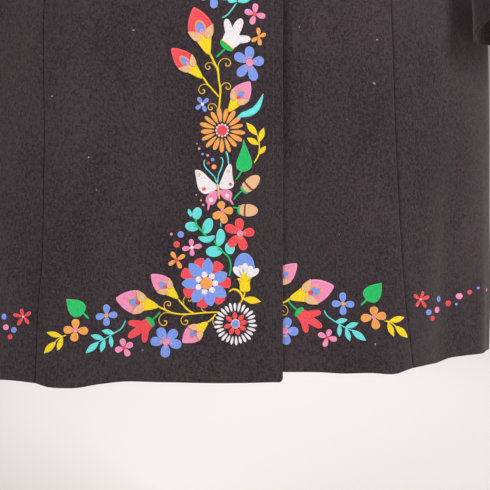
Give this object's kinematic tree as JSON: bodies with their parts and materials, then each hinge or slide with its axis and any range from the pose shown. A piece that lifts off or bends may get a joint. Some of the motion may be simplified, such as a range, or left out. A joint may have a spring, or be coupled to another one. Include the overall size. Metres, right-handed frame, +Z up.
{
  "type": "embroidered coat",
  "caption": "Knee-length black wool coat, worn shape and hollow, with a wide wrapped front, princess seams, long sleeves, a turned-down collar and bright flower embroidery.",
  "frame": {"origin": "between the wearer's shoulders, level with the inner ends of the shoulder seams, where the wearer carries the coat", "axes": "+Z up, the front faces -Y, +X is the wearer's left"},
  "size_m": [0.731, 0.2652, 1.054],
  "materials": {
    "wool": "black felted wool with a short matt nap",
    "thread": "glossy rayon machine embroidery thread in nine colours",
    "sewing_thread": "black sewing thread"
  },
  "bodies": {
    "root": {"front_right": "wool", "front_left": "wool", "side_right": "wool", "side_left": "wool", "back": "wool", "upper_sleeve_right": "wool", "upper_sleeve_left": "wool", "under_sleeve_right": "wool", "under_sleeve_left": "wool", "collar": "wool"}
  },
  "joints": []
}
